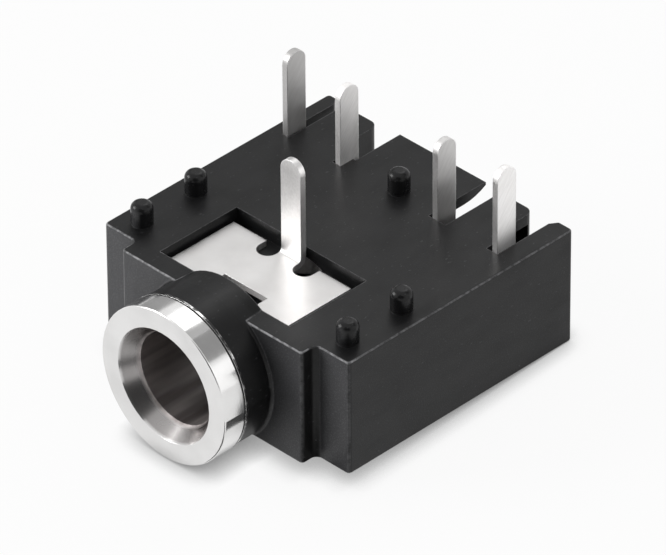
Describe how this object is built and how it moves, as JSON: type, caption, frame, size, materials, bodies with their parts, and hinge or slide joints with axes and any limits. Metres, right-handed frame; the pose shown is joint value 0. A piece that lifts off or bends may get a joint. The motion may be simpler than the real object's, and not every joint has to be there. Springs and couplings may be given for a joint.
{
  "type": "audio jack socket",
  "caption": "Board and panel jack socket for a 3.5 mm stereo plug: moulded housing with locating pegs, nose with bright ring, ground plate, sprung contacts and break contacts.",
  "frame": {"origin": "on the plug axis, in the plane of the front block's face", "axes": "+Y the way the plug goes in, +Z along the solder pins, +X to the right seen from the nose"},
  "size_m": [0.012, 0.0142, 0.0091],
  "materials": {
    "black_plastic": "satin moulded black with a fine grain and paler worn edges",
    "nickel_plate": "bright nickel plate, turned",
    "tin_plate": "dull tin plate, lightly brushed"
  },
  "bodies": {
    "root": {"housing": "black_plastic", "bushing": "nickel_plate", "ground_contact": "tin_plate", "ring_contact": "tin_plate", "tip_contact": "tin_plate", "ring_break_contact": "tin_plate", "tip_break_contact": "tin_plate"}
  },
  "joints": []
}
